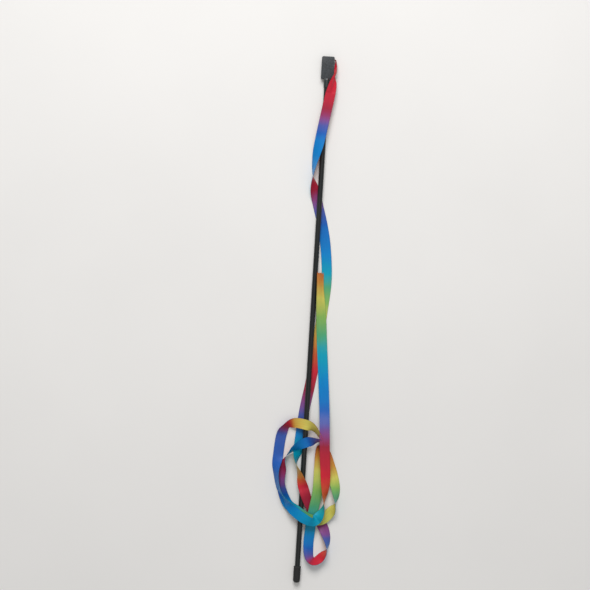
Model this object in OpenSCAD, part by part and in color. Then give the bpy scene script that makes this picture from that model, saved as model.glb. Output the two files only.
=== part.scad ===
// Ribbon wand: a slim black rod with a rubber butt cap and a swivelling flat head
// that holds one end of a long rainbow ribbon. The wand lies along Y on a flat
// surface at Z = 0, with its head towards +Y. Sizes are in millimetres.

/* [Wand] */
// Overall length from the butt cap to the head
wand_length = 516; // [420:2:620]
// Diameter of the rod
rod_d = 5; // [4:0.5:5.5]
// Outer diameter of the butt cap
cap_d = 7.2; // [7:0.1:9]
// Length of the butt cap
cap_length = 16; // [12:1:30]
// Wall left beyond the rod at the cap's closed end
cap_floor = 3; // [2:0.5:6]

/* [Neck and swivel] */
// Outer diameter of the neck sleeve
neck_d = 6.2; // [6:0.1:7]
// Length of the neck sleeve
neck_length = 8; // [7:0.5:12]
// Depth of rod held in the neck sleeve
neck_grip = 4; // [3:0.5:5]
// Diameter of the swivel pin's shank
pin_d = 2.4; // [1.6:0.1:2.6]
// Diameter of the swivel pin's head
pin_head_d = 3.6; // [3.2:0.1:3.7]
// Depth of the pin pressed into the rod
pin_depth = 10; // [6:1:20]
// Radial running clearance round the pin
pin_clearance = 0.05; // [0.02:0.01:0.1]
// Thickness of the washer between neck and head
washer_t = 0.5; // [0.4:0.1:0.6]

/* [Head] */
// Width of the flat head
head_w = 12.5; // [12:0.5:16]
// Length of the flat head
head_length = 21.9; // [20:0.1:26]
// Thickness of the flat head, both shells together
head_t = 5.6; // [5.4:0.1:6.4]
// Wall of the head shells
head_wall = 0.9; // [0.8:0.1:0.9]
// Corner radius at the head's outer end
head_corner = 1.6; // [0.8:0.1:2]
// Diameter of the snap posts that join the shells
post_d = 2; // [1.6:0.1:2.2]

/* [Ribbon] */
// Width of the ribbon
ribbon_w = 10; // [8:0.5:10]
// Thickness of the ribbon's solid
ribbon_t = 0.3; // [0.2:0.05:0.3]
// Width of the pleated end where it leaves the head
pleat_w = 3.4; // [3:0.1:3.6]

/* [Hidden] */

eps = 0.01;
gap = 0.05;                              // end play between parts that turn
axis_z = cap_d / 2;                      // the wand's axis above the surface
butt_y = -wand_length / 2;
tip_y = wand_length / 2;
head_y = tip_y - head_length;            // inner end of the flat head
neck_top = head_y - washer_t - 2 * gap;
neck_y = neck_top - neck_length;
rod_top = neck_y + neck_grip;
rod_bottom = butt_y + cap_floor;
cap_round = 2.6;                         // radius round the butt end
head_end_wall = 2.4;                     // the wall that the swivel pin runs in
head_tip_wall = 1.3;
cavity_w = head_w - 2 * 1.2;
cavity_h = head_t - 2 * head_wall;
pin_head_y = head_y + head_end_wall + gap;
pin_head_t = 1;

// Snap posts: the first one also carries the ribbon's folded end
post_x = 1;
post_y = tip_y - 3.5;
posts = [[post_x, post_y], [-3.4, post_y - 8], [3.4, post_y - 11]];
post_fit = 0.05;

// The pleated end is three layers thick and leaves by a slot in the head's side
fold_t = 0.9;
fold_reach = -0.05;                      // it stops just short of the head's side
slot_fit = 0.1;
stitch_xs = [3.2, 3.9, 4.6];
stitch_zs = [-1, 0, 1];
stitch_d = 0.3;

// Route of the ribbon's free length, from the head to its cut end. Each point
// is X, Y, the height of the ribbon's lower edge, and its roll in degrees: 0 lies
// with the first face up, 90 stands on edge and 180 lies with the second face up.
// Roll is counted on past a full turn, so that it never jumps.
route = [
  // from the head, over the rod and down its left side
  [7.5, 255.5, 1.9, -90], [7.5, 244, 2, -70], [6, 232, 6, -25], [3.5, 218, 7, -5],
  [0.5, 200, 7, 0], [-3.5, 175, 6, 15], [-6.5, 158, 2, 50], [-8, 141, 0.5, 90],
  // under the rod, out to its right and back under it
  [-5.5, 127, 0.5, 150], [-1.5, 113, 0.5, 180], [5, 90, 0.5, 180], [9, 69, 1, 180],
  [11.5, 40, 0.5, 180], [9.5, 10, 0.5, 180], [3.5, -50, 0.5, 180], [-2.5, -90, 0.5, 180],
  // turns over beside the rod and crosses it
  [-5.5, -122, 0.5, 175], [-7.5, -134, 0.5, 130], [-7, -143, 0.5, 90], [-2.5, -154, 5.5, 50],
  [2, -167, 7.5, -5], [6.5, -178, 3, -20], [12.5, -187.5, 1, -10],
  // the small loop at the bottom
  [20, -198, 0.5, 0], [26, -210, 0.5, -35], [28, -223, 0.5, -85], [22.5, -232, 0.5, -140],
  [16, -236.5, 0.5, -130], [11, -232.5, 0.5, -145], [9.5, -220, 0.5, -175],
  // up the middle
  [10.5, -203, 2, -180], [12, -188, 3.5, -165], [15, -168, 3.5, -165], [15.5, -147, 2, -175],
  [15.5, -126, 0.5, -150], [17, -119.5, 0.5, -90],
  // back over the rod to the left, where it stands on edge
  [10, -118.5, 5, -50], [2, -120, 7, -10], [-6, -124, 6, -35], [-13, -130, 1.5, -70],
  [-18.5, -137, 0.5, -95], [-20.5, -148, 0.5, -140], [-21, -163, 0.5, -145],
  // across the bottom and up the right side
  [-14, -180.5, 2, -170], [-4, -187.5, 6.5, -180], [8, -194.5, 6.5, -180], [20, -195.5, 3.5, -185],
  [28.5, -188, 2.5, -195], [33, -178.5, 0.5, -270], [33, -166, 0.5, -325],
  [29.5, -152, 0.5, -350], [24, -137, 2, -350], [18, -120, 1, -270],
  // the arch over the top and down the outside on the left
  [9, -107, 4, -235], [0, -103, 7.5, -185], [-11, -102, 4, -195], [-19, -105.5, 1, -230],
  [-23.5, -115, 1, -185], [-25.5, -135, 0.5, -175], [-26.5, -150, 0.5, -125],
  [-23.5, -166, 0.5, -110], [-17, -177, 1.5, -110], [-9, -186, 6, -155],
  // across the bottom again and sharply up
  [2, -193.5, 9, -170], [12, -197, 9, -155], [18, -191.5, 7.5, -205], [22, -180.5, 3.5, -265],
  // up to the cut end
  [22.5, -167, 5, -310], [22, -152, 6, -345], [20, -130, 10, -360], [18.5, -108, 11, -360],
  [16.5, -80, 4, -360], [11, -25, 1.5, -360], [8.5, 2, 1.5, -345], [6, 28, 1.5, -315],
  [5, 46, 1.5, -310]
];
// The pleat opens out over the first points of the route
opening = [pleat_w, 5.5, 9];
function width(i) = i < len(opening) ? opening[i] : ribbon_w;
function unit(v) = v / norm(v);
function centre(i) =
  [route[i][0], route[i][1], route[i][2] + width(i) / 2 * abs(sin(route[i][3]))];
last = len(route) - 1;
function along(i) = unit(centre(min(i + 1, last)) - centre(max(i - 1, 0)));
function side(i) = unit(cross([0, 0, 1], along(i)));
function up(i) = cross(along(i), side(i));
function across(i) = side(i) * cos(route[i][3]) + up(i) * sin(route[i][3]);
function face(i) = up(i) * cos(route[i][3]) - side(i) * sin(route[i][3]);
function ring(i) = [for (s = [[1, 1], [-1, 1], [-1, -1], [1, -1]])
  centre(i) + across(i) * s[0] * width(i) / 2 + face(i) * s[1] * ribbon_t / 2];

// A rounded rectangle centred on X, from y = 0 upwards
module tab(w, h, r_low, r_high) {
  translate([-w / 2 + r_low, 0]) square([w - 2 * r_low, r_low]);
  translate([-w / 2, r_low]) square([w, h - r_low - r_high]);
  translate([-w / 2 + r_high, h - r_high]) square([w - 2 * r_high, r_high]);
  for (s = [-1, 1]) {
    translate([s * (w / 2 - r_low), r_low]) circle(r = r_low, $fn = 48);
    translate([s * (w / 2 - r_high), h - r_high]) circle(r = r_high, $fn = 48);
  }
}

// A cylinder along the wand's axis, from y0 to y1
module bar(d, y0, y1) {
  translate([0, y0, axis_z]) rotate([-90, 0, 0]) cylinder(d = d, h = y1 - y0, $fn = 64);
}

module rod() {
  color([0.1, 0.1, 0.1])
    difference() {
      bar(rod_d, rod_bottom, rod_top);
      bar(pin_d, rod_top - pin_depth, rod_top + eps);
    }
}

module end_cap() {
  r = cap_d / 2;
  arc = [for (a = [0 : 15 : 90]) [r - cap_round + cap_round * sin(a), cap_round * (1 - cos(a))]];
  color([0.08, 0.08, 0.08])
    difference() {
      translate([0, butt_y, axis_z]) rotate([-90, 0, 0]) rotate_extrude($fn = 64)
        polygon(concat([[0, 0]], arc, [[r, cap_length - 0.4], [r - 0.4, cap_length], [0, cap_length]]));
      bar(rod_d, rod_bottom, butt_y + cap_length + eps);
    }
}

module neck_sleeve() {
  color([0.12, 0.15, 0.15])
    difference() {
      bar(neck_d, neck_y, neck_top);
      bar(rod_d, neck_y - eps, rod_top);
      bar(pin_d, rod_top - eps, neck_top + eps);
    }
}

module swivel_pin() {
  color([0.75, 0.75, 0.76]) {
    bar(pin_d, rod_top - pin_depth, pin_head_y + eps);
    bar(pin_head_d, pin_head_y, pin_head_y + pin_head_t);
  }
}

module swivel_washer() {
  color([0.8, 0.8, 0.8])
    difference() {
      bar(neck_d - 0.8, neck_top + gap, neck_top + gap + washer_t);
      bar(pin_d + 2 * pin_clearance, neck_top, head_y);
    }
}

// One shell of the head, from the parting plane to its flat face; the cavity,
// the pin's bore and the ribbon's slot are cut across both shells
module head_shell(from_z, to_z) {
  difference() {
    translate([0, head_y, from_z]) linear_extrude(to_z - from_z)
      tab(head_w, head_length, 0.6, head_corner);
    translate([-cavity_w / 2, head_y + head_end_wall, axis_z - cavity_h / 2])
      cube([cavity_w, head_length - head_end_wall - head_tip_wall, cavity_h]);
    bar(pin_d + 2 * pin_clearance, head_y - eps, head_y + head_end_wall + eps);
    translate([cavity_w / 2 - eps, post_y - slot_fit, axis_z - pleat_w / 2 - slot_fit])
      cube([head_w, fold_t + 2 * slot_fit, pleat_w + 2 * slot_fit]);
  }
}

module head_back_shell() {
  color([0.22, 0.23, 0.24])
    difference() {
      head_shell(axis_z - head_t / 2, axis_z);
      for (p = posts) translate([p[0], p[1], 0])
        cylinder(d = post_d + 2 * post_fit, h = axis_z, $fn = 48);
    }
}

module head_front_shell() {
  color([0.24, 0.25, 0.26]) {
    head_shell(axis_z, axis_z + head_t / 2);
    for (p = posts) translate([p[0], p[1], axis_z - head_t / 2])
      cylinder(d = post_d, h = head_t / 2 + cavity_h / 2 + eps, $fn = 48);
  }
}

// The pleated end: a loop round the first post and a lead out through the slot
module ribbon_tail() {
  loop_r = post_d / 2 + slot_fit + fold_t;
  color([0.84, 0.24, 0.35])
    translate([0, 0, axis_z - pleat_w / 2]) linear_extrude(pleat_w)
      difference() {
        union() {
          translate([post_x, post_y]) circle(r = loop_r, $fn = 64);
          translate([post_x, post_y]) square([head_w / 2 + fold_reach - post_x, fold_t]);
          translate([post_x, post_y - fold_t]) square([4, fold_t]);
        }
        translate([post_x, post_y]) circle(r = loop_r - fold_t, $fn = 64);
      }
}

module tail_stitches() {
  color([0.9, 0.9, 0.88])
    for (x = stitch_xs, z = stitch_zs)
      translate([x, post_y - fold_t - 0.1, axis_z + z]) rotate([-90, 0, 0])
        cylinder(d = stitch_d, h = 2 * fold_t + 0.2, $fn = 16);
}

module ribbon() {
  points = [for (i = [0 : last]) each ring(i)];
  // Both faces are split along the same diagonal, so the strip keeps its thickness
  walls = [for (i = [0 : last - 1]) let (a = 4 * i)
    each [[a, a + 4, a + 1], [a + 1, a + 4, a + 5], [a + 1, a + 5, a + 2], [a + 2, a + 5, a + 6],
          [a + 2, a + 6, a + 7], [a + 2, a + 7, a + 3], [a + 3, a + 7, a], [a, a + 7, a + 4]]];
  color([0.1, 0.5, 0.8])
    polyhedron(points, concat([[0, 1, 2, 3]], walls, [[4 * last + 3, 4 * last + 2, 4 * last + 1, 4 * last]]));
}

rod();
end_cap();
neck_sleeve();
swivel_pin();
swivel_washer();
head_back_shell();
head_front_shell();
ribbon_tail();
tail_stitches();
ribbon();
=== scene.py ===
# Ribbon wand: a slim black rod with a rubber butt cap and a swivelling flat head
# that holds one end of a long rainbow ribbon, lying on a pale floor.
import math

import bmesh
import bpy
import numpy as np
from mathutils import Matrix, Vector


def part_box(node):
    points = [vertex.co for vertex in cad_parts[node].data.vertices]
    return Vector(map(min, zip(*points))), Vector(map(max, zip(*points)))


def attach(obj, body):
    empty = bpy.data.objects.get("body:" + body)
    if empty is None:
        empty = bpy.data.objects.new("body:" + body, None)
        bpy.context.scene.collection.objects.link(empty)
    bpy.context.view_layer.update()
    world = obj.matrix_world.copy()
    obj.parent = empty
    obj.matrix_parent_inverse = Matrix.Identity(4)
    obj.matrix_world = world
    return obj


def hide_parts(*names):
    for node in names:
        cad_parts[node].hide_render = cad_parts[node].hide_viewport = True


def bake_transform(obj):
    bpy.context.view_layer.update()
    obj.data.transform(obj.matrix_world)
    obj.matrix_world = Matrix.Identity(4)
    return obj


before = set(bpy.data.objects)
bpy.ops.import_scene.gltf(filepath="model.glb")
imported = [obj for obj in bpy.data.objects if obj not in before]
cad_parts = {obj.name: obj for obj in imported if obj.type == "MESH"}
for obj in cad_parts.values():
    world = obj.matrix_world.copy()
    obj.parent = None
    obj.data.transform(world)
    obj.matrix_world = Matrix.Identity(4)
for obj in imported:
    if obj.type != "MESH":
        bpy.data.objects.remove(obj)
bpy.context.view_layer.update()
mm = 0.001
print("stage: frame loaded")


def corners(node):
    low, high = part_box(node)
    return Vector(low), Vector(high)


rodLow, rodHigh = corners("rod")
capLow, capHigh = corners("end_cap")
neckLow, neckHigh = corners("neck_sleeve")
headLow, headHigh = corners("head_front_shell")
backLow = corners("head_back_shell")[0]
axisZ = (rodLow.z + rodHigh.z) / 2


view = {
    "lens": 120,
    "sensor": 36,
    "centre": (-0.0185, 0.023),
    "width": 0.578,            # how much of the floor the picture takes in
    "turn": 3.5,               # degrees, so that the wand leans a little to the right
}
studio = {
    "floorSize": 4.0,
    "floorColour": (0.80, 0.785, 0.765),
    "worldColour": (1.0, 1.0, 1.0),
    "worldStrength": 0.36,
    "keySize": 1.1,
    "keyPlace": (-0.15, 1.15, 1.25),
    "keyPower": 24,
    "fillSize": 1.6,
    "fillPlace": (0.25, -0.5, 1.9),
    "fillPower": 4,
}


def makeCamera():
    data = bpy.data.cameras.new("camera")
    data.lens = view["lens"]
    data.sensor_width = view["sensor"]
    data.clip_end = 20
    camera = bpy.data.objects.new("camera", data)
    away = view["width"] * view["lens"] / view["sensor"]
    camera.location = (*view["centre"], axisZ + away)
    camera.rotation_euler = (0, 0, math.radians(view["turn"]))
    bpy.context.collection.objects.link(camera)
    bpy.context.scene.camera = camera


def makeLight(name, size, place, power):
    data = bpy.data.lights.new(name, "AREA")
    data.shape = "DISK"
    data.size = size
    data.energy = power
    light = bpy.data.objects.new(name, data)
    light.location = place
    aim = Vector((0, 0, 0)) - Vector(place)
    light.rotation_euler = aim.to_track_quat("-Z", "Y").to_euler()
    bpy.context.collection.objects.link(light)


def makeStudio():
    world = bpy.data.worlds.new("studio")
    world.use_nodes = True
    background = world.node_tree.nodes["Background"]
    background.inputs["Color"].default_value = (*studio["worldColour"], 1)
    background.inputs["Strength"].default_value = studio["worldStrength"]
    bpy.context.scene.world = world
    bpy.context.scene.view_settings.view_transform = "Standard"
    makeLight("keyLight", studio["keySize"], studio["keyPlace"], studio["keyPower"])
    makeLight("fillLight", studio["fillSize"], studio["fillPlace"], studio["fillPower"])


makeCamera()
makeStudio()
print("stage: camera and lights")


def newMaterial(name):
    material = bpy.data.materials.new(name)
    material.use_nodes = True
    nodes = material.node_tree.nodes
    nodes.clear()
    output = nodes.new("ShaderNodeOutputMaterial")
    shader = nodes.new("ShaderNodeBsdfPrincipled")
    material.node_tree.links.new(shader.outputs["BSDF"], output.inputs["Surface"])
    return material, shader


# inputs and outputs are (name, socket type, default) rows
def newGroup(name, inputs, outputs):
    tree = bpy.data.node_groups.new(name, "ShaderNodeTree")
    for label, kind, default in inputs:
        socket = tree.interface.new_socket(label, in_out="INPUT", socket_type=kind)
        socket.default_value = default
    for label, kind in outputs:
        tree.interface.new_socket(label, in_out="OUTPUT", socket_type=kind)
    return tree, tree.nodes.new("NodeGroupInput"), tree.nodes.new("NodeGroupOutput")


def math2(tree, operation, a, b=None, clamp=False):
    node = tree.nodes.new("ShaderNodeMath")
    node.operation = operation
    node.use_clamp = clamp
    for socket, value in zip(node.inputs, (a, b)):
        if value is None:
            continue
        if isinstance(value, (int, float)):
            socket.default_value = value
        else:
            tree.links.new(value, socket)
    return node.outputs[0]


def mapRange(tree, value, low, high, toLow, toHigh):
    node = tree.nodes.new("ShaderNodeMapRange")
    tree.links.new(value, node.inputs["Value"])
    for label, number in (("From Min", low), ("From Max", high), ("To Min", toLow), ("To Max", toHigh)):
        node.inputs[label].default_value = number
    return node.outputs["Result"]


def mixColour(tree, factor, a, b, blend="MIX"):
    node = tree.nodes.new("ShaderNodeMix")
    node.data_type = "RGBA"
    node.blend_type = blend
    for index, value in ((0, factor), (6, a), (7, b)):
        if isinstance(value, (int, float)):
            node.inputs[index].default_value = value
        elif isinstance(value, tuple):
            node.inputs[index].default_value = (*value, 1)
        else:
            tree.links.new(value, node.inputs[index])
    return node.outputs[2]


def addBump(tree, shader, height, strength, distance):
    bump = tree.nodes.new("ShaderNodeBump")
    bump.inputs["Strength"].default_value = strength
    bump.inputs["Distance"].default_value = distance
    tree.links.new(height, bump.inputs["Height"])
    tree.links.new(bump.outputs["Normal"], shader.inputs["Normal"])


def setShader(shader, **values):
    for label, value in values.items():
        shader.inputs[label.replace("_", " ")].default_value = value


def makeGrainGroup():
    # Fine noise that may be drawn out along the wand
    tree, inside, outside = newGroup("grain",
                                     [("Scale", "NodeSocketFloat", 800.0),
                                      ("Drawn Out", "NodeSocketFloat", 1.0),
                                      ("Detail", "NodeSocketFloat", 4.0)],
                                     [("Height", "NodeSocketFloat"), ("Mottle", "NodeSocketFloat")])
    place = tree.nodes.new("ShaderNodeTexCoord")
    split = tree.nodes.new("ShaderNodeSeparateXYZ")
    join = tree.nodes.new("ShaderNodeCombineXYZ")
    tree.links.new(place.outputs["Object"], split.inputs[0])
    drawn = math2(tree, "DIVIDE", split.outputs["Y"], inside.outputs["Drawn Out"])
    tree.links.new(split.outputs["X"], join.inputs["X"])
    tree.links.new(drawn, join.inputs["Y"])
    tree.links.new(split.outputs["Z"], join.inputs["Z"])
    fine = tree.nodes.new("ShaderNodeTexNoise")
    tree.links.new(join.outputs[0], fine.inputs["Vector"])
    tree.links.new(inside.outputs["Scale"], fine.inputs["Scale"])
    tree.links.new(inside.outputs["Detail"], fine.inputs["Detail"])
    broad = tree.nodes.new("ShaderNodeTexNoise")
    broad.inputs["Detail"].default_value = 3
    tree.links.new(join.outputs[0], broad.inputs["Vector"])
    tree.links.new(math2(tree, "MULTIPLY", inside.outputs["Scale"], 0.12), broad.inputs["Scale"])
    tree.links.new(fine.outputs["Fac"], outside.inputs["Height"])
    tree.links.new(mapRange(tree, broad.outputs["Fac"], 0.3, 0.7, 0, 1), outside.inputs["Mottle"])
    return tree


def makeWearGroup():
    # Rubbed edges, from the "rim" attribute of a piece, broken up by noise
    tree, inside, outside = newGroup("rubbedEdge",
                                     [("Amount", "NodeSocketFloat", 0.5),
                                      ("Breakup Scale", "NodeSocketFloat", 900.0)],
                                     [("Mask", "NodeSocketFloat")])
    rim = tree.nodes.new("ShaderNodeAttribute")
    rim.attribute_name = "rim"
    place = tree.nodes.new("ShaderNodeTexCoord")
    noise = tree.nodes.new("ShaderNodeTexNoise")
    noise.inputs["Detail"].default_value = 5
    tree.links.new(place.outputs["Object"], noise.inputs["Vector"])
    tree.links.new(inside.outputs["Breakup Scale"], noise.inputs["Scale"])
    broken = mapRange(tree, noise.outputs["Fac"], 0.38, 0.62, 0, 1)
    mask = math2(tree, "MULTIPLY", rim.outputs["Fac"], broken)
    mask = math2(tree, "MULTIPLY", mask, inside.outputs["Amount"], clamp=True)
    tree.links.new(mask, outside.inputs["Mask"])
    return tree


def makeWeaveGroup():
    # Satin weave on the "cloth" map, whose unit is one metre: long floats along the strip
    tree, inside, outside = newGroup("satinWeave",
                                     [("Thread Pitch", "NodeSocketFloat", 0.00018),
                                      ("Float Length", "NodeSocketFloat", 0.0011)],
                                     [("Height", "NodeSocketFloat"), ("Streaks", "NodeSocketFloat")])
    cloth = tree.nodes.new("ShaderNodeUVMap")
    cloth.uv_map = "cloth"
    split = tree.nodes.new("ShaderNodeSeparateXYZ")
    tree.links.new(cloth.outputs["UV"], split.inputs[0])
    along, across = split.outputs["X"], split.outputs["Y"]
    thread = math2(tree, "DIVIDE", across, inside.outputs["Thread Pitch"])
    turn = math2(tree, "MULTIPLY", thread, math.pi)
    ridge = math2(tree, "ABSOLUTE", math2(tree, "SINE", turn))
    # Each thread dips under a cross thread, a fixed step later than its neighbour
    number = math2(tree, "FLOOR", thread)
    shifted = math2(tree, "ADD", math2(tree, "DIVIDE", along, inside.outputs["Float Length"]),
                    math2(tree, "MULTIPLY", number, 0.4))
    dip = math2(tree, "POWER", math2(tree, "ABSOLUTE", math2(
        tree, "COSINE", math2(tree, "MULTIPLY", shifted, math.pi))), 14)
    dipped = math2(tree, "SUBTRACT", 1, math2(tree, "MULTIPLY", dip, 0.8))
    height = math2(tree, "MULTIPLY", ridge, dipped)
    tree.links.new(height, outside.inputs["Height"])
    stretch = tree.nodes.new("ShaderNodeCombineXYZ")
    tree.links.new(math2(tree, "MULTIPLY", along, 35), stretch.inputs["X"])
    tree.links.new(math2(tree, "MULTIPLY", across, 1400), stretch.inputs["Y"])
    streak = tree.nodes.new("ShaderNodeTexNoise")
    streak.inputs["Scale"].default_value = 1
    streak.inputs["Detail"].default_value = 3
    tree.links.new(stretch.outputs[0], streak.inputs["Vector"])
    tree.links.new(mapRange(tree, streak.outputs["Fac"], 0.25, 0.75, 0, 1), outside.inputs["Streaks"])
    return tree


grainGroup = makeGrainGroup()
wearGroup = makeWearGroup()
weaveGroup = makeWeaveGroup()


def useGroup(tree, group, **values):
    node = tree.nodes.new("ShaderNodeGroup")
    node.node_tree = group
    for label, value in values.items():
        node.inputs[label.replace("_", " ")].default_value = value
    return node


# The rainbow that the cloth is dyed with, over one turn of it: how far round, and colour
dye = {
    "colours": [
        (0.00, (0.62, 0.02, 0.04)),   # red
        (0.10, (0.36, 0.02, 0.05)),   # crimson
        (0.18, (0.24, 0.07, 0.25)),   # violet
        (0.25, (0.08, 0.10, 0.38)),
        (0.34, (0.01, 0.11, 0.45)),   # blue
        (0.45, (0.00, 0.22, 0.58)),
        (0.54, (0.00, 0.34, 0.48)),   # cyan
        (0.62, (0.08, 0.38, 0.18)),   # green
        (0.71, (0.24, 0.45, 0.10)),
        (0.80, (0.65, 0.60, 0.12)),   # yellow
        (0.87, (0.65, 0.30, 0.05)),   # orange
        (0.94, (0.58, 0.09, 0.03)),
    ],
}


def dyeRamp(tree, place):
    ramp = tree.nodes.new("ShaderNodeValToRGB")
    stops = ramp.color_ramp.elements
    firstColour = dye["colours"][0][1]
    stops[0].position = 0
    stops[0].color = (*firstColour, 1)
    stops[1].position = 1
    stops[1].color = (*firstColour, 1)
    for at, colour in dye["colours"][1:]:
        stop = stops.new(at)
        stop.color = (*colour, 1)
    tree.links.new(place, ramp.inputs["Fac"])
    return ramp.outputs["Color"]


def makeRibbonSatin():
    material, shader = newMaterial("ribbonSatin")
    tree = material.node_tree
    dyeMap = tree.nodes.new("ShaderNodeUVMap")
    dyeMap.uv_map = "dye"
    split = tree.nodes.new("ShaderNodeSeparateXYZ")
    tree.links.new(dyeMap.outputs["UV"], split.inputs[0])
    # The dye runs a little unevenly into the cloth
    place = tree.nodes.new("ShaderNodeTexCoord")
    bleed = tree.nodes.new("ShaderNodeTexNoise")
    bleed.inputs["Scale"].default_value = 130
    bleed.inputs["Detail"].default_value = 3
    tree.links.new(place.outputs["Object"], bleed.inputs["Vector"])
    shift = mapRange(tree, bleed.outputs["Fac"], 0.2, 0.8, -0.012, 0.012)
    colour = dyeRamp(tree, math2(tree, "FRACT", math2(tree, "ADD", split.outputs["X"], shift)))
    weave = useGroup(tree, weaveGroup, Thread_Pitch=0.00018, Float_Length=0.0011)
    colour = mixColour(tree, mapRange(tree, weave.outputs["Streaks"], 0, 1, 0, 0.16),
                       colour, (0.02, 0.02, 0.03), "MULTIPLY")
    # painted shade: the colour is multiplied darker towards both edges of the strip, standing in for
    # the shade where the edges curl away from the light
    selvedgeAndEdgeShade = mapRange(tree, split.outputs["Y"], 0.80, 1.0, 0, 0.45)
    colour = mixColour(tree, selvedgeAndEdgeShade, colour, (0.12, 0.12, 0.14), "MULTIPLY")
    tree.links.new(colour, shader.inputs["Base Color"])
    rough = mapRange(tree, weave.outputs["Streaks"], 0, 1, 0.33, 0.46)
    tree.links.new(rough, shader.inputs["Roughness"])
    addBump(tree, shader, weave.outputs["Height"], 0.35, 0.00004)
    setShader(shader, Anisotropic=0.4, Specular_IOR_Level=0.2)
    return material


def makeDark(name, colour, lighter, roughness, grain, wear, specular=0.5, coat=0.0):
    # Dark moulded finish: mottled colour, fine grain and edges rubbed lighter
    material, shader = newMaterial(name)
    tree = material.node_tree
    texture = useGroup(tree, grainGroup, **grain)
    rubbed = useGroup(tree, wearGroup, **wear)
    base = mixColour(tree, mapRange(tree, texture.outputs["Mottle"], 0, 1, 0, 0.7), colour, lighter)
    base = mixColour(tree, rubbed.outputs["Mask"], base, tuple(3 * c + 0.02 for c in lighter))
    tree.links.new(base, shader.inputs["Base Color"])
    low, high = roughness
    rough = mapRange(tree, texture.outputs["Mottle"], 0, 1, low, high)
    tree.links.new(rough, shader.inputs["Roughness"])
    addBump(tree, shader, texture.outputs["Height"], 0.25, 0.00005)
    setShader(shader, Specular_IOR_Level=specular, Coat_Weight=coat, Coat_Roughness=0.3)
    return material


def makeSteel():
    material, shader = newMaterial("brightSteel")
    tree = material.node_tree
    texture = useGroup(tree, grainGroup, Scale=2500.0, Drawn_Out=0.2, Detail=3.0)
    base = mixColour(tree, texture.outputs["Mottle"], (0.62, 0.63, 0.65), (0.78, 0.78, 0.78))
    tree.links.new(base, shader.inputs["Base Color"])
    rough = mapRange(tree, texture.outputs["Height"], 0.3, 0.7, 0.16, 0.34)
    tree.links.new(rough, shader.inputs["Roughness"])
    addBump(tree, shader, texture.outputs["Height"], 0.15, 0.00003)
    setShader(shader, Metallic=1.0)
    return material


def makeThread():
    material, shader = newMaterial("sewingThread")
    tree = material.node_tree
    place = tree.nodes.new("ShaderNodeTexCoord")
    twist = tree.nodes.new("ShaderNodeTexWave")
    twist.bands_direction = "DIAGONAL"
    twist.inputs["Scale"].default_value = 2200
    twist.inputs["Distortion"].default_value = 1.5
    tree.links.new(place.outputs["Object"], twist.inputs["Vector"])
    base = mixColour(tree, twist.outputs["Fac"], (0.55, 0.53, 0.50), (0.82, 0.81, 0.78))
    tree.links.new(base, shader.inputs["Base Color"])
    addBump(tree, shader, twist.outputs["Fac"], 0.4, 0.00004)
    setShader(shader, Roughness=0.75, Sheen_Weight=0.3)
    return material


def makeFloorMaterial():
    material, shader = newMaterial("paleFloor")
    tree = material.node_tree
    place = tree.nodes.new("ShaderNodeTexCoord")
    noise = tree.nodes.new("ShaderNodeTexNoise")
    noise.inputs["Scale"].default_value = 6
    noise.inputs["Detail"].default_value = 4
    tree.links.new(place.outputs["Object"], noise.inputs["Vector"])
    light = studio["floorColour"]
    base = mixColour(tree, mapRange(tree, noise.outputs["Fac"], 0.3, 0.7, 0, 1),
                     light, tuple(0.97 * c for c in light))
    tree.links.new(base, shader.inputs["Base Color"])
    setShader(shader, Roughness=0.8, Specular_IOR_Level=0.2)
    return material


ribbonSatin = makeRibbonSatin()
rodBlack = makeDark("rodBlack", (0.010, 0.012, 0.012), (0.018, 0.020, 0.020), (0.30, 0.42),
                    {"Scale": 1500.0, "Drawn Out": 12.0}, {"Amount": 0.2}, 0.3)
capRubber = makeDark("capRubber", (0.014, 0.014, 0.014), (0.022, 0.022, 0.022), (0.62, 0.80),
                     {"Scale": 2600.0}, {"Amount": 0.35}, 0.35)
neckPlastic = makeDark("neckPlastic", (0.012, 0.020, 0.020), (0.020, 0.030, 0.030), (0.36, 0.5),
                       {"Scale": 1800.0}, {"Amount": 0.35})
headPlastic = makeDark("headPlastic", (0.018, 0.021, 0.023), (0.032, 0.036, 0.040), (0.40, 0.58),
                       {"Scale": 1600.0, "Drawn Out": 3.0}, {"Amount": 0.3}, 0.35)
steel = makeSteel()
sewingThread = makeThread()
print("stage: materials")


def addMesh(name, points, faces, material, smooth=True):
    mesh = bpy.data.meshes.new(name)
    mesh.from_pydata([tuple(p) for p in points], [], [tuple(f) for f in faces])
    mesh.validate()
    mesh.materials.append(material)
    for polygon in mesh.polygons:
        polygon.use_smooth = smooth
    piece = bpy.data.objects.new(name, mesh)
    bpy.context.collection.objects.link(piece)
    return piece


def sharpen(piece, degrees=35):
    piece.data.set_sharp_from_angle(angle=math.radians(degrees))


# Turns rows of (y, radius, rubbed) round the wand's axis. When closed, the last row joins the first;
# otherwise each end gets a flat face.
def lathe(name, profile, material, segments=64, closed=True):
    points = []
    faces = []
    rims = []
    for y, radius, rim in profile:
        for k in range(segments):
            turn = 2 * math.pi * k / segments
            points.append((radius * math.sin(turn), y, axisZ + radius * math.cos(turn)))
            rims.append(rim)
    rows = len(profile)
    steps = range(rows) if closed else range(rows - 1)
    for row in steps:
        after = (row + 1) % rows
        for k in range(segments):
            n = (k + 1) % segments
            here = row * segments
            there = after * segments
            faces.append((here + k, there + k, there + n, here + n))
    if not closed:
        faces.append(tuple(range(segments)))
        faces.append(tuple(reversed(range((rows - 1) * segments, rows * segments))))
    piece = addMesh(name, points, faces, material)
    attribute = piece.data.attributes.new("rim", "FLOAT", "POINT")
    attribute.data.foreach_set("value", rims)
    outwards(piece)
    sharpen(piece)
    return piece


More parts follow.
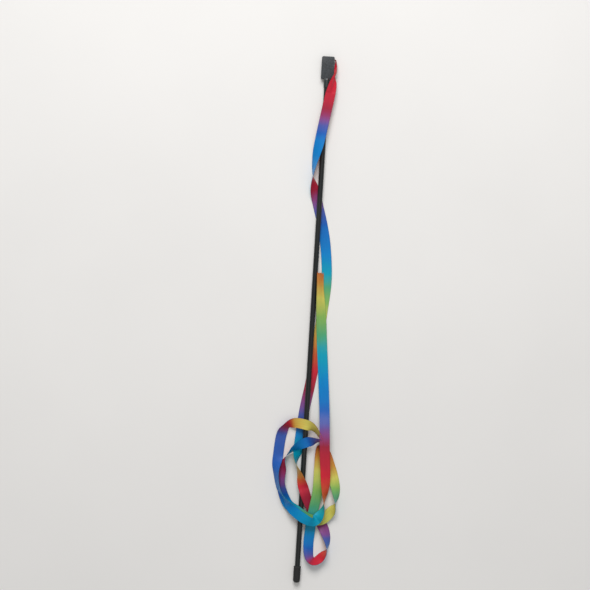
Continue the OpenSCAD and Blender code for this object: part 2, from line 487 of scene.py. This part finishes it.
def outwards(piece):
    work = bmesh.new()
    work.from_mesh(piece.data)
    bmesh.ops.remove_doubles(work, verts=work.verts, dist=1e-7)
    bmesh.ops.recalc_face_normals(work, faces=work.faces)
    work.to_mesh(piece.data)
    work.free()


# Route of the free length, from the head to the cut end: X, Y, height of the strip's
# lower edge in mm, and roll in degrees (0 first face up, 90 on edge, 180 second face up)
route = [
    # from the head, over the rod and down its left side
    [7.5, 255.5, 1.9, -90], [7.5, 244, 2, -70], [6, 232, 6, -25], [3.5, 218, 7, -5],
    [0.5, 200, 7, 0], [-3.5, 175, 6, 15], [-6.5, 158, 2, 50], [-8, 141, 0.5, 90],
    # under the rod, out to its right and back under it
    [-5.5, 127, 0.5, 150], [-1.5, 113, 0.5, 180], [5, 90, 0.5, 180], [9, 69, 1, 180],
    [11.5, 40, 0.5, 180], [9.5, 10, 0.5, 180], [3.5, -50, 0.5, 180], [-2.5, -90, 0.5, 180],
    # turns over beside the rod and crosses it
    [-5.5, -122, 0.5, 175], [-7.5, -134, 0.5, 130], [-7, -143, 0.5, 90], [-2.5, -154, 5.5, 50],
    [2, -167, 7.5, -5], [6.5, -178, 3, -20], [12.5, -187.5, 1, -10],
    # the small loop at the bottom
    [20, -198, 0.5, 0], [26, -210, 0.5, -35], [28, -223, 0.5, -85], [22.5, -232, 0.5, -140],
    [16, -236.5, 0.5, -130], [11, -232.5, 0.5, -145], [9.5, -220, 0.5, -175],
    # up the middle
    [10.5, -203, 2, -180], [12, -188, 3.5, -165], [15, -168, 3.5, -165], [15.5, -147, 2, -175],
    [15.5, -126, 0.5, -150], [17, -119.5, 0.5, -90],
    # back over the rod to the left, where it stands on edge
    [10, -118.5, 5, -50], [2, -120, 7, -10], [-6, -124, 6, -35], [-13, -130, 1.5, -70],
    [-18.5, -137, 0.5, -95], [-20.5, -148, 0.5, -140], [-21, -163, 0.5, -145],
    # across the bottom and up the right side
    [-14, -180.5, 2, -170], [-4, -187.5, 6.5, -180], [8, -194.5, 6.5, -180], [20, -195.5, 3.5, -185],
    [28.5, -188, 2.5, -195], [33, -178.5, 0.5, -270], [33, -166, 0.5, -325],
    [29.5, -152, 0.5, -350], [24, -137, 2, -350], [18, -120, 1, -270],
    # the arch over the top and down the outside on the left
    [9, -107, 4, -235], [0, -103, 7.5, -185], [-11, -102, 4, -195], [-19, -105.5, 1, -230],
    [-23.5, -115, 1, -185], [-25.5, -135, 0.5, -175], [-26.5, -150, 0.5, -125],
    [-23.5, -166, 0.5, -110], [-17, -177, 1.5, -110], [-9, -186, 6, -155],
    # across the bottom again and sharply up
    [2, -193.5, 9, -170], [12, -197, 9, -155], [18, -191.5, 7.5, -205], [22, -180.5, 3.5, -265],
    # up to the cut end
    [22.5, -167, 5, -310], [22, -152, 6, -345], [20, -130, 10, -360], [18.5, -108, 11, -360],
    [16.5, -80, 4, -360], [11, -25, 1.5, -360], [8.5, 2, 1.5, -345], [6, 28, 1.5, -315],
    [5, 46, 1.5, -310]
]
ribbon = {
    "width": 10 * mm,
    "opening": [3.4 * mm, 5.5 * mm, 9 * mm],   # widths where the pleat opens out, at the first points
    "slotDrop": 0.55 * mm,                     # from the route's first point down to the slot's middle
    "lead": [(5.6 * mm, 0), (6.6 * mm, 0), (7.35 * mm, 0.45 * mm), (7.6 * mm, 1.6 * mm)],
    "thickness": 0.16 * mm,
    "selvedgeAndEdgeShade": 0.10 * mm,                     # how much thicker the woven edge is
    "step": 1.0 * mm,                          # between stations along the strip
    "cells": 20,                               # across the strip
    "pointsPerSpan": 48,                       # of the smooth curve, between two points of the route
    "heightReach": 20,                         # how far changes of height are evened out, in those
    "lowest": 0.3 * mm,
    "floorGap": 0.05 * mm,
    "cup": 0.45 * mm,                          # how much the strip hollows across its width
    "ripple": 0.22 * mm,
    "rippleWaves": [(17, 0.4), (11.3, 2.1), (29, 4.0)],   # length in mm, and phase
    "slowWaves": 6,
    "frayReach": 6,                            # mm of the cut end that slants and frays
    "cutSlant": 1.4 * mm,
    "cutJag": 0.5 * mm,
    "seed": 7,
}
# How many turns of the rainbow have gone by at a point of the route, on each face. The faces were
# dyed apart, and the dye is stretched where the strip was gathered.
dyeOnFirstFace = [
    (0, -0.04), (3, 0.03), (4, 0.14), (5, 0.42), (7, 0.46), (18, 1.82), (19, 1.9), (20, 2.05),
    (21, 2.1), (23, 2.13), (24, 2.2), (25, 2.4), (35, 3.12), (36, 3.24), (37, 3.38), (38, 3.44),
    (40, 3.5), (48, 3.57), (49, 3.68), (50, 3.82), (51, 3.9), (66, 4.9), (68, 5.0), (69, 5.05),
    (70, 5.2), (71, 5.4), (72, 5.57), (75, 5.92)
]
dyeOnSecondFace = [
    (7, 0), (9, 0.2), (10, 0.37), (11, 0.43), (12, 0.57), (13, 0.75), (14, 1.0), (15, 1.22),
    (16, 1.52), (18, 1.54), (26, 2.0), (27, 2.03), (28, 2.22), (29, 2.4), (30, 2.52), (32, 2.7),
    (34, 2.92),
    (40, 3.08), (41, 3.12), (42, 3.2), (43, 3.45), (46, 3.77), (48, 3.8), (54, 3.81), (55, 3.85),
    (56, 4.1), (57, 4.3), (59, 4.34), (61, 4.42), (65, 4.54), (66, 4.58)
]


def catmullRom(rows, perSpan):
    rows = np.array(rows, float)
    spans = []
    for i in range(len(rows) - 1):
        p0 = rows[i - 1] if i else 2 * rows[0] - rows[1]
        p1 = rows[i]
        p2 = rows[i + 1]
        p3 = rows[i + 2] if i + 2 < len(rows) else 2 * rows[-1] - rows[-2]
        t = np.linspace(0, 1, perSpan, endpoint=False)[:, None]
        spans.append(0.5 * (2 * p1 + (p2 - p0) * t + (2 * p0 - 5 * p1 + 4 * p2 - p3) * t**2
                            + (3 * p1 - p0 - 3 * p2 + p3) * t**3))
    return np.vstack(spans + [rows[-1:]])


def unit(rows):
    return rows / np.linalg.norm(rows, axis=-1)[..., None]


def lengths(points):
    return np.concatenate([[0], np.cumsum(np.linalg.norm(np.diff(points, axis=0), axis=1))])


def smoothed(values, reach):
    kernel = np.exp(-np.linspace(-2, 2, 2 * reach + 1)**2)
    kernel /= kernel.sum()
    padded = np.pad(values, reach, mode="edge")
    return np.convolve(padded, kernel, mode="valid")


# Evenly spaced stations along the strip: centre, roll in radians and flat width, and the length run
# at each point of the route
def ribbonPath():
    widths = ribbon["opening"] + [ribbon["width"]] * (len(route) - len(ribbon["opening"]))
    rows = [[x * mm, y * mm, low * mm, math.radians(roll), w]
            for (x, y, low, roll), w in zip(route, widths)]
    # A short lead brings the pleat out of the head's slot before it turns along the wand
    slotY = rows[0][1] - ribbon["slotDrop"]
    lead = [[x, slotY - drop, rows[0][2], rows[0][3], widths[0]] for x, drop in ribbon["lead"]]
    perSpan = ribbon["pointsPerSpan"]
    dense = catmullRom(lead + rows[1:], perSpan)
    roll = dense[:, 3]
    lift = np.sqrt(np.sin(roll)**2 + 0.0025) - 0.05 * (1 - np.abs(np.sin(roll)))
    centre = dense[:, :3].copy()
    low = np.maximum(smoothed(dense[:, 2], ribbon["heightReach"]), ribbon["lowest"])
    centre[:, 2] = low + dense[:, 4] / 2 * lift
    run = lengths(centre)
    atPoints = run[[0] + [(k + len(lead) - 1) * perSpan for k in range(1, len(route))]]
    stations = np.linspace(0, run[-1], int(run[-1] / ribbon["step"]) + 1)
    even = np.stack([np.interp(stations, run, centre[:, k]) for k in range(3)], 1)
    rolls = np.interp(stations, run, roll)
    widthsThere = np.interp(stations, run, dense[:, 4])
    return stations, even, rolls, widthsThere, atPoints


# Points (across, out of the face) over the strip's width; folds is 1 for the Z-shaped pleat
def crossSection(width, cup, folds):
    u = np.linspace(-1, 1, ribbon["cells"] + 1)
    u = np.sin(u * math.pi / 2 * 0.94) / math.sin(math.pi / 2 * 0.94)
    if not folds:
        return np.stack([u * width / 2, cup * (1 - u * u)], 1)
    panel = ribbon["width"] / 3
    bend = math.acos(max(-0.985, min(1.0, width / panel - 2)))
    at = (u + 1) / 2 * 3
    first = np.minimum(at, 1) * panel
    middle = np.clip(at - 1, 0, 1) * panel
    third = np.clip(at - 2, 0, 1) * panel
    sideways = first + middle * math.cos(bend) + third
    outward = -middle * math.sin(bend)
    section = np.stack([sideways - sideways.mean(), outward - outward.mean()], 1)
    inner = section[1:-1] * 0.5 + (section[:-2] + section[2:]) * 0.25
    section[1:-1] = inner
    return section + np.stack([0 * u, cup * (1 - u * u)], 1)


# Slow random waves make the strip hollow and ripple by turns, and quick ones ripple its edges
def ribbonWaves(stations, rng):
    waves = [(rng.uniform(25, 120), rng.uniform(0, 6.28), rng.uniform(0.4, 1))
             for k in range(ribbon["slowWaves"])]
    turns = 2 * math.pi * stations / mm
    slow = sum(a * np.sin(turns / w + p) for w, p, a in waves) / 2.4
    quick = sum(np.sin(turns / w + p) for w, p in ribbon["rippleWaves"]) / 2.2
    return slow, quick


# The strip's upper and lower skins, as a grid of points: station by place across
def ribbonSkins(stations, centre, roll, width, forward, rng):
    side = unit(np.cross([0, 0, 1], forward))
    up = np.cross(forward, side)
    across = side * np.cos(roll)[:, None] + up * np.sin(roll)[:, None]
    face = up * np.cos(roll)[:, None] - side * np.sin(roll)[:, None]
    slow, quick = ribbonWaves(stations, rng)
    flat = np.abs(np.cos(roll))
    u = np.linspace(-1, 1, ribbon["cells"] + 1)
    nearEdge = np.exp(-((1 - np.abs(u)) / 0.05)**2)
    half = ribbon["thickness"] / 2 + ribbon["selvedgeAndEdgeShade"] / 2 * nearEdge
    tops = []
    bottoms = []
    for i in range(len(stations)):
        # The strip holds its shape less where it lies flat
        hollow = ribbon["cup"] * slow[i] * (0.35 + 0.65 * (1 - flat[i]))
        folded = width[i] < ribbon["width"] * 0.985
        section = crossSection(width[i], hollow, folded)
        section[:, 1] += ribbon["ripple"] * quick[i] * 0.35 * u * (0.4 + 0.6 * (1 - flat[i]))
        tangent = unit(np.gradient(section, axis=0))
        normal = np.stack([-tangent[:, 1], tangent[:, 0]], 1)
        for rows, sign in ((tops, 1), (bottoms, -1)):
            at = section + normal * (half * sign)[:, None]
            rows.append(centre[i] + across[i] * at[:, :1] + face[i] * at[:, 1:])
    return np.array(tops), np.array(bottoms)


# The cut end slants, and its threads stand out unevenly; nothing goes below the floor
def cutAndRest(skins, stations, forward, rng):
    toEnd = (stations[-1] - stations) / mm
    near = np.clip(1 - toEnd / ribbon["frayReach"], 0, 1)**2
    u = np.linspace(-1, 1, ribbon["cells"] + 1)
    jag = ribbon["cutSlant"] * u / 2 + ribbon["cutJag"] * rng.uniform(-1, 1, len(u))
    for rows in skins:
        rows += forward[-1] * (near[:, None] * jag[None, :])[..., None]
        rows[..., 2] = np.maximum(rows[..., 2], ribbon["floorGap"])


def dyeAlong(stations, atPoints, marks):
    return np.interp(stations, [atPoints[k] for k, turns in marks], [turns + 1 for k, turns in marks])


# Faces over both skins, the two edges and the two ends, each with its dye and its corners' places
def ribbonFaces(count, firstDye, secondDye):
    n = ribbon["cells"] + 1
    low = count * n
    faces = []
    maps = []

    def addWall(a, b, places, turned):
        ring = (a, low + a, low + b, b)
        if turned:
            ring = tuple(reversed(ring))
            places = tuple(reversed(places))
        faces.append(ring)
        maps.append((firstDye, places))

    for i in range(count - 1):
        for k in range(n - 1):
            a = i * n + k
            faces.append((a, a + n, a + n + 1, a + 1))
            maps.append((firstDye, ((i, k), (i + 1, k), (i + 1, k + 1), (i, k + 1))))
            faces.append((low + a, low + a + 1, low + a + n + 1, low + a + n))
            maps.append((secondDye, ((i, k), (i, k + 1), (i + 1, k + 1), (i + 1, k))))
        for k in (0, n - 1):
            a = i * n + k
            addWall(a, a + n, ((i, k), (i, k), (i + 1, k), (i + 1, k)), k > 0)
    for i in (0, count - 1):
        for k in range(n - 1):
            a = i * n + k
            addWall(a + 1, a, ((i, k + 1), (i, k + 1), (i, k), (i, k)), i > 0)
    return faces, maps


def makeRibbon():
    rng = np.random.default_rng(ribbon["seed"])
    stations, centre, roll, width, atPoints = ribbonPath()
    forward = unit(np.gradient(centre, axis=0))
    tops, bottoms = ribbonSkins(stations, centre, roll, width, forward, rng)
    cutAndRest((tops, bottoms), stations, forward, rng)
    firstDye = dyeAlong(stations, atPoints, dyeOnFirstFace)
    secondDye = dyeAlong(stations, atPoints, dyeOnSecondFace)
    faces, maps = ribbonFaces(len(stations), firstDye, secondDye)
    points = np.concatenate([tops.reshape(-1, 3), bottoms.reshape(-1, 3)])
    piece = addMesh("ribbonStrip", points, faces, ribbonSatin)
    dyeUv = piece.data.uv_layers.new(name="dye")
    clothUv = piece.data.uv_layers.new(name="cloth")
    u = np.linspace(-1, 1, ribbon["cells"] + 1)
    dyeRows = []
    clothRows = []
    for table, places in maps:
        for i, k in places:
            dyeRows += [table[i], abs(u[k])]
            clothRows += [stations[i], u[k] * width[i] / 2]
    dyeUv.data.foreach_set("uv", dyeRows)
    clothUv.data.foreach_set("uv", clothRows)
    sharpen(piece, 60)
    return piece, centre, tops, forward


ribbonStrip, ribbonCentre, ribbonTops, ribbonForward = makeRibbon()
ribbonLength = float(lengths(ribbonCentre)[-1])
print("stage: ribbon, length", round(ribbonLength, 4), "triangles", len(ribbonStrip.data.polygons) * 2)

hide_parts("ribbon")
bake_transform(ribbonStrip)


fray = {
    "count": 16,
    "threadRadius": 0.035 * mm,
    "tipRadius": 0.015 * mm,
    "threadLength": 1.6 * mm,
    "spread": 0.5,                 # radians either way
    "shortest": 0.35,              # of the full length
    "seed": 11,
}


def geometryTree(name, inputs):
    tree = bpy.data.node_groups.new(name, "GeometryNodeTree")
    tree.interface.new_socket("Geometry", in_out="INPUT", socket_type="NodeSocketGeometry")
    for label, kind, default in inputs:
        socket = tree.interface.new_socket(label, in_out="INPUT", socket_type=kind)
        socket.default_value = default
    tree.interface.new_socket("Geometry", in_out="OUTPUT", socket_type="NodeSocketGeometry")
    return tree, tree.nodes.new("NodeGroupInput"), tree.nodes.new("NodeGroupOutput")


def finishTree(tree, geometry, outside, material):
    realize = tree.nodes.new("GeometryNodeRealizeInstances")
    paint = tree.nodes.new("GeometryNodeSetMaterial")
    paint.inputs["Material"].default_value = material
    tree.links.new(geometry, realize.inputs[0])
    tree.links.new(realize.outputs[0], paint.inputs["Geometry"])
    tree.links.new(paint.outputs["Geometry"], outside.inputs["Geometry"])


# Runs a geometry tree on a mesh and returns the result as one plain object
def runTree(name, seedMesh, tree, values):
    holder = bpy.data.objects.new(name + "Seed", seedMesh)
    bpy.context.collection.objects.link(holder)
    modifier = holder.modifiers.new("nodes", "NODES")
    modifier.node_group = tree
    for item in tree.interface.items_tree:
        if item.item_type == "SOCKET" and item.in_out == "INPUT" and item.name in values:
            modifier[item.identifier] = values[item.name]
    ready = holder.evaluated_get(bpy.context.evaluated_depsgraph_get())
    mesh = bpy.data.meshes.new_from_object(ready)
    mesh.name = name
    bpy.data.objects.remove(holder)
    for polygon in mesh.polygons:
        polygon.use_smooth = True
    piece = bpy.data.objects.new(name, mesh)
    bpy.context.collection.objects.link(piece)
    return piece


def makeFray():
    end = (ribbonTops[-1][0], ribbonTops[-1][-1])
    mesh = bpy.data.meshes.new("cutEdge")
    steps = np.linspace(0.04, 0.96, fray["count"])
    spots = [tuple(end[0] + (end[1] - end[0]) * t) for t in steps]
    mesh.from_pydata(spots, [], [])
    tree, inside, outside = geometryTree("looseThreads", [
        ("Thread Radius", "NodeSocketFloat", fray["threadRadius"]),
        ("Thread Length", "NodeSocketFloat", fray["threadLength"]),
        ("Spread", "NodeSocketFloat", fray["spread"]),
        ("Heading", "NodeSocketVector", (0.0, 0.0, 0.0)),
        ("Seed", "NodeSocketInt", fray["seed"])])
    links = tree.links
    thread = tree.nodes.new("GeometryNodeMeshCone")
    thread.inputs["Vertices"].default_value = 6
    thread.inputs["Side Segments"].default_value = 3
    links.new(inside.outputs["Thread Radius"], thread.inputs["Radius Bottom"])
    thread.inputs["Radius Top"].default_value = fray["tipRadius"]
    links.new(inside.outputs["Thread Length"], thread.inputs["Depth"])
    turn = tree.nodes.new("FunctionNodeRandomValue")
    turn.data_type = "FLOAT_VECTOR"
    for index, way in ((0, -1), (1, 1)):
        limit = tree.nodes.new("ShaderNodeVectorMath")
        limit.operation = "SCALE"
        limit.inputs[0].default_value = (way, way, way)
        links.new(inside.outputs["Spread"], limit.inputs["Scale"])
        links.new(limit.outputs[0], turn.inputs[index])
    links.new(inside.outputs["Seed"], turn.inputs["Seed"])
    heading = tree.nodes.new("ShaderNodeVectorMath")
    heading.operation = "ADD"
    links.new(inside.outputs["Heading"], heading.inputs[0])
    links.new(turn.outputs[0], heading.inputs[1])
    size = tree.nodes.new("FunctionNodeRandomValue")
    size.data_type = "FLOAT"
    size.inputs[2].default_value = fray["shortest"]
    size.inputs[3].default_value = 1.0
    links.new(inside.outputs["Seed"], size.inputs["Seed"])
    onPoints = tree.nodes.new("GeometryNodeInstanceOnPoints")
    links.new(inside.outputs["Geometry"], onPoints.inputs["Points"])
    links.new(thread.outputs["Mesh"], onPoints.inputs["Instance"])
    links.new(heading.outputs[0], onPoints.inputs["Rotation"])
    links.new(size.outputs[1], onPoints.inputs["Scale"])
    finishTree(tree, onPoints.outputs["Instances"], outside, threadDyed)
    toward = Vector(ribbonForward[-1]).to_track_quat("Z", "Y").to_euler()
    return runTree("looseThreads", mesh, tree, {"Heading": tuple(toward)})


def makeDyedThread():
    material, shader = newMaterial("dyedThread")
    tree = material.node_tree
    texture = useGroup(tree, grainGroup, Scale=3000.0)
    base = mixColour(tree, texture.outputs["Mottle"], (0.60, 0.10, 0.05), (0.66, 0.20, 0.08))
    tree.links.new(base, shader.inputs["Base Color"])
    addBump(tree, shader, texture.outputs["Height"], 0.3, 0.00002)
    setShader(shader, Roughness=0.6, Sheen_Weight=0.3)
    return material


threadDyed = makeDyedThread()
looseThreads = makeFray()
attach(looseThreads, "wand")
print("stage: loose threads")


rodShape = {"chamfer": 0.15 * mm, "centreRadius": 0.2 * mm, "rows": 49}


def makeRod():
    radius = (rodHigh.x - rodLow.x) / 2
    soft = rodShape["chamfer"]
    middle = rodShape["centreRadius"]
    rows = [(rodLow.y, middle, 0), (rodLow.y, radius - soft, 0), (rodLow.y + soft, radius, 0)]
    for t in np.linspace(0.02, 0.98, rodShape["rows"]):
        rows.append((rodLow.y + (rodHigh.y - rodLow.y) * t, radius, 0))
    rows += [(rodHigh.y - soft, radius, 0), (rodHigh.y, radius - soft, 0), (rodHigh.y, middle, 0)]
    rod = lathe("rodBody", rows, rodBlack, 48, closed=False)
    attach(rod, "wand")
    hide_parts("rod")


capShape = {
    "bodyInset": 0.15 * mm,        # the body is slimmer than the lip by this
    "lip": 1.2 * mm,
    "round": 2.6 * mm,
    "seamAfterRound": 0.7 * mm,
    "seamGroove": 0.06 * mm,
    "floor": 3 * mm,
    "centreRadius": 0.1 * mm,
    "boreFit": 0.01 * mm,
}


def makeCap():
    outer = (capHigh.x - capLow.x) / 2
    body = outer - capShape["bodyInset"]
    inner = (rodHigh.x - rodLow.x) / 2 + capShape["boreFit"]
    curve = capShape["round"]
    middle = capShape["centreRadius"]
    deep = capLow.y + capShape["floor"]
    rows = [(capLow.y, middle, 0.2)]
    for step in range(0, 91, 10):
        turn = math.radians(step)
        rows.append((capLow.y + curve * (1 - math.cos(turn)), body - curve + curve * math.sin(turn),
                     0.8 * math.sin(2 * turn)))
    seam = capLow.y + curve + capShape["seamAfterRound"]
    groove = capShape["seamGroove"]
    rows += [(seam, body, 0), (seam + 0.08 * mm, body - groove, 0.3), (seam + 0.16 * mm, body, 0)]
    lip = capHigh.y - capShape["lip"]
    for t in (0.25, 0.5, 0.75):
        rows.append((seam + (lip - seam) * t, body, 0))
    rows += [(lip - 0.25 * mm, body, 0), (lip, body + 0.03 * mm, 0.2), (lip + 0.15 * mm, outer, 0.7),
             (capHigh.y - 0.25 * mm, outer, 0.8), (capHigh.y - 0.08 * mm, outer - 0.08 * mm, 1),
             (capHigh.y, outer - 0.3 * mm, 0.6), (capHigh.y, inner, 0), (deep, inner, 0),
             (deep, middle, 0)]
    cap = lathe("buttCap", rows, capRubber, 64, closed=False)
    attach(cap, "wand")
    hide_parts("end_cap")


neckShape = {
    "bore": 1.21 * mm,             # round the swivel pin
    "boreFit": 0.01 * mm,
    "soft": 0.35 * mm,             # how far its rims are rounded
    "rim": 0.1 * mm,
    "grooveFrom": 2.2 * mm,
    "grooveDepth": 0.12 * mm,
    "grooveWidth": 0.42 * mm,
}


def makeNeck():
    outer = (neckHigh.x - neckLow.x) / 2
    inner = (rodHigh.x - rodLow.x) / 2 + neckShape["boreFit"]
    bore = neckShape["bore"]
    step = rodHigh.y + neckShape["boreFit"]
    soft = neckShape["soft"]
    rim = neckShape["rim"]
    start = neckLow.y
    stop = neckHigh.y
    rows = [(start, inner, 0), (start, outer - soft, 0.6), (start + rim, outer - rim, 1),
            (start + soft, outer, 0.6), (start + 2 * soft, outer, 0)]
    ring = start + neckShape["grooveFrom"]
    ringEnd = ring + neckShape["grooveWidth"]
    deep = neckShape["grooveDepth"]
    rows += [(ring, outer, 0), (ring + deep, outer - deep, 0.2),
             (ringEnd - deep, outer - deep, 0.2), (ringEnd, outer, 0)]
    rows += [(stop - 2 * soft, outer, 0), (stop - soft, outer, 0.6), (stop - rim, outer - rim, 1),
             (stop, outer - soft, 0.6), (stop, bore, 0), (step, bore, 0), (step, inner, 0)]
    neck = lathe("neckSleeve", rows, neckPlastic, 64)
    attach(neck, "wand")
    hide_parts("neck_sleeve")


makeRod()
makeCap()
makeNeck()
print("stage: rod, cap and neck")


shell = {"edge": 0.28 * mm, "edgeSteps": 3, "rimReach": 0.9 * mm}


def copyNode(node, name):
    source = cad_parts[node]
    mesh = source.data.copy()
    mesh.name = name
    piece = bpy.data.objects.new(name, mesh)
    bpy.context.collection.objects.link(piece)
    mesh.materials.clear()
    work = bmesh.new()
    work.from_mesh(mesh)
    bmesh.ops.remove_doubles(work, verts=work.verts, dist=2e-6)
    bmesh.ops.dissolve_limit(work, angle_limit=math.radians(1), verts=work.verts, edges=work.edges)
    work.to_mesh(mesh)
    work.free()
    return piece


def roundEdges(piece, width, steps):
    bevel = piece.modifiers.new("softEdges", "BEVEL")
    bevel.width = width
    bevel.segments = steps
    bevel.limit_method = "ANGLE"
    bevel.angle_limit = math.radians(40)
    bevel.use_clamp_overlap = True
    bevel.harden_normals = False
    ready = piece.evaluated_get(bpy.context.evaluated_depsgraph_get())
    mesh = bpy.data.meshes.new_from_object(ready)
    piece.modifiers.clear()
    old = piece.data
    piece.data = mesh
    bpy.data.meshes.remove(old)


# Rubbed along the outline of the flat faces and the corners
def markHeadRim(piece):
    values = []
    for vertex in piece.data.vertices:
        x, y, z = vertex.co
        inX = min(x - headLow.x, headHigh.x - x)
        inY = min(y - headLow.y, headHigh.y - y)
        inZ = min(z - backLow.z, headHigh.z - z)
        close = sorted((inX, inY, inZ))[:2]
        values.append(max(0.0, 1 - sum(close) / shell["rimReach"]))
    attribute = piece.data.attributes.new("rim", "FLOAT", "POINT")
    attribute.data.foreach_set("value", values)


def makeShell(node, name):
    piece = copyNode(node, name)
    piece.data.materials.append(headPlastic)
    roundEdges(piece, shell["edge"], shell["edgeSteps"])
    for polygon in piece.data.polygons:
        polygon.use_smooth = True
        polygon.material_index = 0
    sharpen(piece, 40)
    markHeadRim(piece)
    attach(piece, "head")
    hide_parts(node)


makeShell("head_front_shell", "headFront")
makeShell("head_back_shell", "headBack")
print("stage: head")


for nodeName, material in (("swivel_pin", steel), ("swivel_washer", steel),
                           ("tail_stitches", sewingThread), ("ribbon_tail", threadDyed)):
    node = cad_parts[nodeName]
    node.data.materials.clear()
    node.data.materials.append(material)


def makeFloor():
    half = studio["floorSize"] / 2
    square = [(-half, -half, 0), (half, -half, 0), (half, half, 0), (-half, half, 0)]
    floor = addMesh("floor", square, [(0, 1, 2, 3)], makeFloorMaterial(), False)


makeFloor()

print("stage: finished")
